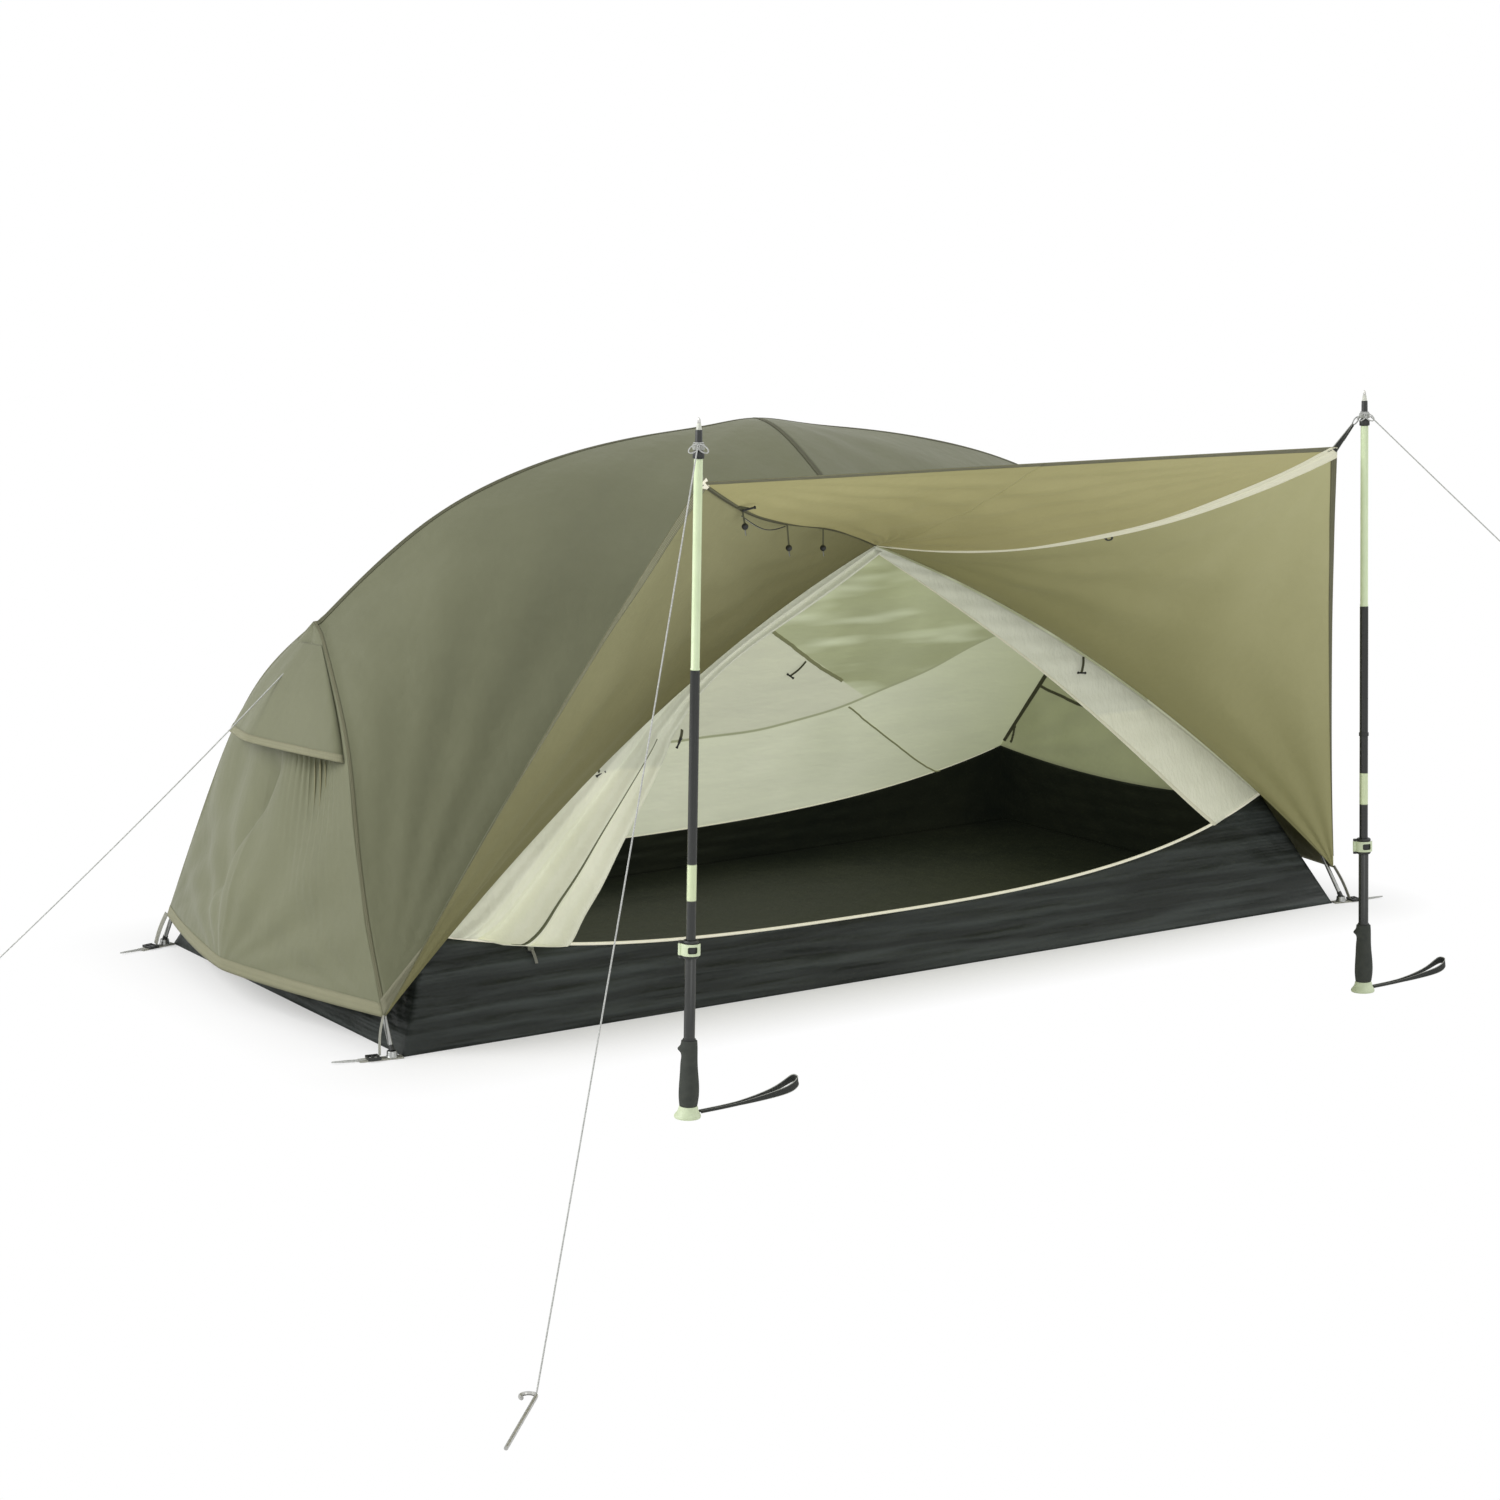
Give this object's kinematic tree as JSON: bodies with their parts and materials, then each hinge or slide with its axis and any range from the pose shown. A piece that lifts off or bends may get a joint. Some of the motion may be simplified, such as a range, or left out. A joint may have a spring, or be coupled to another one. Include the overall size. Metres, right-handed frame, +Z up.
{
  "type": "backpacking tent",
  "caption": "Small two-pole-hub backpacking tent, pitched, with its front panel raised as an awning on two upturned trekking poles.",
  "frame": {"origin": "middle of the underside of the floor", "axes": "+X from the foot end to the head end, +Y away from the door and awning, +Z up"},
  "size_m": [3.6005, 2.7429, 1.1508],
  "materials": {
    "fly_olive": "silicone-coated ripstop nylon, matt olive",
    "fly_inner_gold": "coated inner face of the fly, golden olive, satin",
    "inner_cream": "breathable nylon and mesh, pale cream",
    "tub_black": "coated nylon, near black, soft sheen",
    "pole_alloy": "anodised alloy, satin",
    "black_plastic": "moulded nylon, fine grain",
    "webbing": "woven polyester webbing",
    "pole_lime": "pale green lacquer, gloss",
    "pole_dark": "dark grey lacquer, gloss",
    "grip_foam": "closed-cell foam, matt",
    "guyline": "braided cord, 2.4 mm"
  },
  "bodies": {
    "tent": {"awning_ceiling_left": "fly_inner_gold", "awning_ceiling_right": "fly_inner_gold", "awning_left_wing": "fly_inner_gold", "awning_right_wing": "fly_inner_gold", "brow_hub": "black_plastic", "brow_pole": "pole_alloy", "corner_strap_foot_front": "webbing", "corner_strap_foot_rear": "webbing", "corner_strap_head_front": "webbing", "corner_strap_head_rear": "webbing", "fly_foot_end": "fly_olive", "fly_front_left": "fly_olive", "fly_front_right": "fly_olive", "fly_head_end": "fly_olive", "fly_rear": "fly_olive", "guy_stake_foot": "pole_alloy", "guy_stake_left": "pole_alloy", "guy_stake_right": "pole_alloy", "guyline_foot": "guyline", "guyline_left": "guyline", "guyline_right": "guyline", "hub_foot": "black_plastic", "hub_head": "black_plastic", "inner_canopy": "inner_cream", "inner_door": "inner_cream", "inner_foot": "inner_cream", "inner_front": "inner_cream", "inner_head": "inner_cream", "left_pole_cap": "pole_lime", "left_pole_grip": "grip_foam", "left_pole_handle_tube": "pole_dark", "left_pole_lock_clamp": "pole_dark", "left_pole_wrist_strap": "webbing", "leg_pole_foot_front": "pole_alloy", "leg_pole_foot_rear": "pole_alloy", "leg_pole_head_front": "pole_alloy", "leg_pole_head_rear": "pole_alloy", "ridge_clip_foot": "black_plastic", "ridge_clip_head": "black_plastic", "ridge_pole_foot": "pole_alloy", "ridge_pole_head": "pole_alloy", "right_pole_cap": "pole_lime", "right_pole_grip": "grip_foam", "right_pole_handle_tube": "pole_dark", "right_pole_lock_clamp": "pole_dark", "right_pole_wrist_strap": "webbing", "tub_floor": "tub_black", "vent_hood": "fly_olive"},
    "left_pole_upper": {"left_pole_upper_tube": "pole_dark", "left_pole_lime_tube": "pole_lime", "left_pole_ferrule_tip": "pole_dark", "awning_tab_left": "webbing"},
    "right_pole_upper": {"right_pole_upper_tube": "pole_dark", "right_pole_lime_tube": "pole_lime", "right_pole_ferrule_tip": "pole_dark", "awning_tab_right": "webbing"},
    "left_lock_lever": {"left_pole_lock_lever": "pole_lime"},
    "right_lock_lever": {"right_pole_lock_lever": "pole_lime"},
    "door_slider": {"door_slider": "pole_alloy"},
    "vent_prop": {"vent_prop": "black_plastic"}
  },
  "joints": [
    {"name": "left_pole_slide", "type": "slide", "parent": "tent", "child": "left_pole_upper", "axis": [0.0226, 0, 0.9997], "range_m": [-0.12, 0.06]},
    {"name": "right_pole_slide", "type": "slide", "parent": "tent", "child": "right_pole_upper", "axis": [-0.0078, 0.0391, 0.9992], "range_m": [-0.12, 0.06]},
    {"name": "left_lever_hinge", "type": "hinge", "parent": "tent", "child": "left_lock_lever", "pos_m": [-0.90854, -1.08635, 0.28527], "axis": [-0.0226, 0, -0.9997], "range_deg": [0, 100]},
    {"name": "right_lever_hinge", "type": "hinge", "parent": "tent", "child": "right_lock_lever", "pos_m": [0.60479, -1.12022, 0.28432], "axis": [0.0078, -0.0391, -0.9992], "range_deg": [0, 100]},
    {"name": "door_zip_slide", "type": "slide", "parent": "tent", "child": "door_slider", "axis": [0.9922, -0.0745, -0.1], "range_m": [0, 0.3]},
    {"name": "vent_prop_hinge", "type": "hinge", "parent": "tent", "child": "vent_prop", "pos_m": [-1.11815, -0.03299, 0.51688], "axis": [0, -1, 0], "range_deg": [0, 50]}
  ]
}
